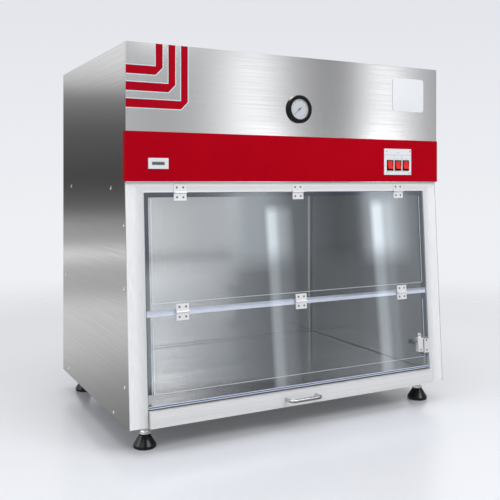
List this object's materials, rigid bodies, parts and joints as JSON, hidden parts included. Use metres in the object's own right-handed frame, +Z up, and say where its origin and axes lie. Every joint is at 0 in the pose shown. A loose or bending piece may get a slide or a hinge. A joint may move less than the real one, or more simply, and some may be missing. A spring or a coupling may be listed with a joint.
{
  "type": "pcr workstation",
  "caption": "Bench clean-air workstation with a leaning bi-fold clear door, red control band, gauge, switches, slide-out tray and levelling feet.",
  "frame": {"origin": "on the floor below the middle of the cabinet", "axes": "+X to the right seen from the front, -Y towards the user, +Z up"},
  "size_m": [1.0065, 0.7129, 1.006],
  "materials": {
    "brushed steel": "brushed",
    "steel liner": "brushed",
    "plated steel": "polished",
    "red enamel": "gloss",
    "stripe red": "satin",
    "white plate": "satin",
    "clear acrylic": "gloss",
    "dark seal": "gloss",
    "pale strip": "satin",
    "black plastic": "satin",
    "red rocker": "gloss",
    "lens": "clear",
    "aluminium": "satin",
    "filter paper": "matte",
    "fibre pad": "matte",
    "lamp glass": "clear",
    "painted box": "satin"
  },
  "bodies": {
    "cabinet": {"side_panel_left": "brushed steel", "side_panel_right": "brushed steel", "back_panel": "brushed steel", "base_pan": "steel liner", "bearer_left": "brushed steel", "bearer_right": "brushed steel", "stile_left": "brushed steel", "stile_right": "brushed steel", "top_rail": "brushed steel", "chamber_liner": "steel liner", "work_surface": "steel liner", "diffuser": "steel liner", "rail_hinge_leaves": "plated steel", "latch_keeper": "plated steel", "head_wrapper": "brushed steel", "head_back": "brushed steel", "mains_inlet": "black plastic", "head_front": "brushed steel", "red_band": "red enamel", "corner_stripes": "stripe red", "blank_plate": "white plate", "gauge_case": "black plastic", "gauge_dial": "white plate", "gauge_lens": "lens", "hour_meter": "white plate", "switch_plate": "white plate", "switch_bezels": "black plastic", "side_cowl": "brushed steel", "filter_frame": "aluminium", "filter_media": "filter paper", "fan_deck": "brushed steel", "fan_motor": "painted box", "motor_bridge": "brushed steel", "prefilter": "fibre pad", "ballast": "painted box", "tube_white": "lamp glass", "tube_germicidal": "lamp glass", "lamp_holders": "white plate"},
    "upper_door": {"upper_pane": "clear acrylic", "upper_seal": "dark seal", "joint_strip": "pale strip", "upper_hinge_leaves": "plated steel"},
    "lower_door": {"lower_pane": "clear acrylic", "lower_seal": "dark seal", "lower_hinge_leaves": "plated steel", "latch_body": "plated steel"},
    "bolt": {"latch_bolt": "plated steel"},
    "needle": {"gauge_needle": "black plastic"},
    "switch_left": {"rocker_left": "red rocker"},
    "switch_middle": {"rocker_middle": "red rocker"},
    "switch_right": {"rocker_right": "red rocker"},
    "tray": {"tray_pan": "brushed steel", "tray_front": "brushed steel", "tray_handle": "plated steel"},
    "levelling_foot_front_left": {"foot_front_left": "black plastic"},
    "levelling_foot_front_right": {"foot_front_right": "black plastic"},
    "levelling_foot_back_left": {"foot_back_left": "black plastic"},
    "levelling_foot_back_right": {"foot_back_right": "black plastic"},
    "fan_wheel": {"impeller": "aluminium"}
  },
  "joints": [
    {"name": "upper_door_hinge", "type": "hinge", "parent": "cabinet", "child": "upper_door", "pos_m": [0, -0.27715, 0.63514], "axis": [-1, 0, 0], "range_deg": [0, 120]},
    {"name": "lower_door_hinge", "type": "hinge", "parent": "upper_door", "child": "lower_door", "pos_m": [0, -0.29505, 0.33519], "axis": [-1, 0, 0], "range_deg": [0, 165]},
    {"name": "latch_bolt_slide", "type": "slide", "parent": "lower_door", "child": "bolt", "axis": [1, 0, 0], "range_m": [0, 0.008]},
    {"name": "needle_pivot", "type": "hinge", "parent": "cabinet", "child": "needle", "pos_m": [0, -0.284, 0.862], "axis": [0, 1, 0], "range_deg": [0, 264], "stiffness_Nm_per_rad": 0.001},
    {"name": "rocker_left_pivot", "type": "hinge", "parent": "cabinet", "child": "switch_left", "pos_m": [0.3133, -0.2799, 0.7113], "axis": [1, 0, 0], "range_deg": [0, 18]},
    {"name": "rocker_middle_pivot", "type": "hinge", "parent": "cabinet", "child": "switch_middle", "pos_m": [0.3428, -0.2799, 0.7113], "axis": [1, 0, 0], "range_deg": [0, 18]},
    {"name": "rocker_right_pivot", "type": "hinge", "parent": "cabinet", "child": "switch_right", "pos_m": [0.3723, -0.2799, 0.7113], "axis": [1, 0, 0], "range_deg": [0, 18]},
    {"name": "tray_slide", "type": "slide", "parent": "cabinet", "child": "tray", "axis": [0, -1, 0], "range_m": [0, 0.38]},
    {"name": "foot_front_left_screw", "type": "slide", "parent": "cabinet", "child": "levelling_foot_front_left", "axis": [0, 0, 1], "range_m": [-0.012, 0.01]},
    {"name": "foot_front_right_screw", "type": "slide", "parent": "cabinet", "child": "levelling_foot_front_right", "axis": [0, 0, 1], "range_m": [-0.012, 0.01]},
    {"name": "foot_back_left_screw", "type": "slide", "parent": "cabinet", "child": "levelling_foot_back_left", "axis": [0, 0, 1], "range_m": [-0.012, 0.01]},
    {"name": "foot_back_right_screw", "type": "slide", "parent": "cabinet", "child": "levelling_foot_back_right", "axis": [0, 0, 1], "range_m": [-0.012, 0.01]},
    {"name": "fan_spin", "type": "hinge", "parent": "cabinet", "child": "fan_wheel", "pos_m": [0, 0.0401, 0.84], "axis": [0, 0, 1], "continuous": true}
  ]
}
